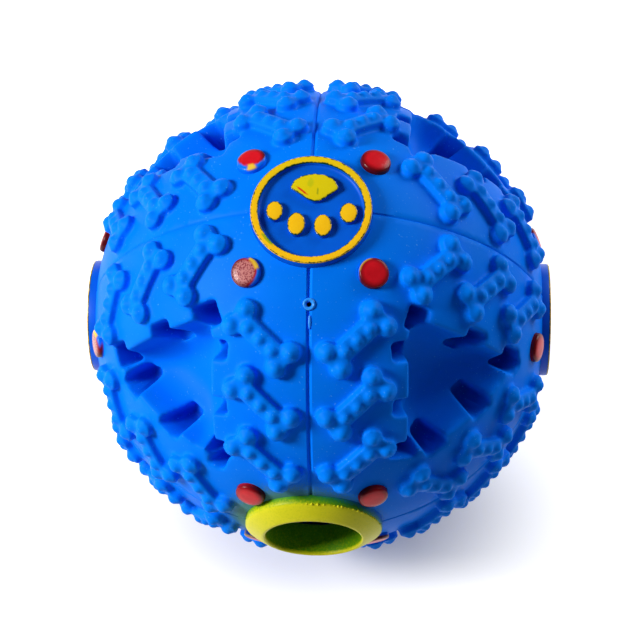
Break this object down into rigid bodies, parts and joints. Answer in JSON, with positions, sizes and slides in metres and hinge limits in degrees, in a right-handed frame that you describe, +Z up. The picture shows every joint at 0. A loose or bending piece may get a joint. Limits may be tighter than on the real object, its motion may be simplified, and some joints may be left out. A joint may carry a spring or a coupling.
{
  "type": "treat dispensing ball",
  "caption": "Hollow soft vinyl pet ball with a round treat hole, raised bone shapes, toothed pockets, paw medallions, round studs and a sliding sound unit inside.",
  "frame": {"origin": "middle of the bottom medallion's ring face, which the ball rests on", "axes": "+Z up through the ball's middle to the top medallion, -Y out of the treat hole, and +X to the right medallion, across the plane where the half shells meet"},
  "size_m": [0.0906, 0.0921, 0.0906],
  "materials": {
    "blue_vinyl": "satin moulded vinyl",
    "lime_paint": "satin sprayed yellow paint over blue vinyl",
    "yellow_paint": "satin yellow paint on vinyl",
    "red_paint": "glossy red paint on vinyl",
    "white_plastic": "plain moulded plastic",
    "steel": "turned steel",
    "brass": "rolled strip",
    "grey_rubber": "moulded rubber"
  },
  "bodies": {
    "ball": {"shell_left": "blue_vinyl", "shell_right": "blue_vinyl", "treat_collar": "lime_paint", "vent_eyelet": "blue_vinyl", "medallion_top": "blue_vinyl", "medallion_bottom": "blue_vinyl", "medallion_back": "blue_vinyl", "medallion_left": "blue_vinyl", "medallion_right": "blue_vinyl", "paw_emblem_top": "yellow_paint", "paw_emblem_bottom": "yellow_paint", "paw_emblem_back": "yellow_paint", "paw_emblem_left": "yellow_paint", "paw_emblem_right": "yellow_paint", "studs_top": "red_paint", "studs_bottom": "red_paint", "studs_hole": "red_paint", "studs_back": "red_paint", "studs_left": "red_paint", "studs_right": "red_paint", "sound_tube": "white_plastic", "tube_cap_left": "white_plastic", "tube_cap_right": "white_plastic"},
    "reed_unit": {"reed_carrier": "white_plastic", "slide_weight": "steel", "reed_tongue": "brass", "seal_ring": "grey_rubber"}
  },
  "joints": [
    {"name": "weight_slide", "type": "slide", "parent": "ball", "child": "reed_unit", "axis": [1, 0, 0], "range_m": [-0.0225, 0.0225]}
  ]
}
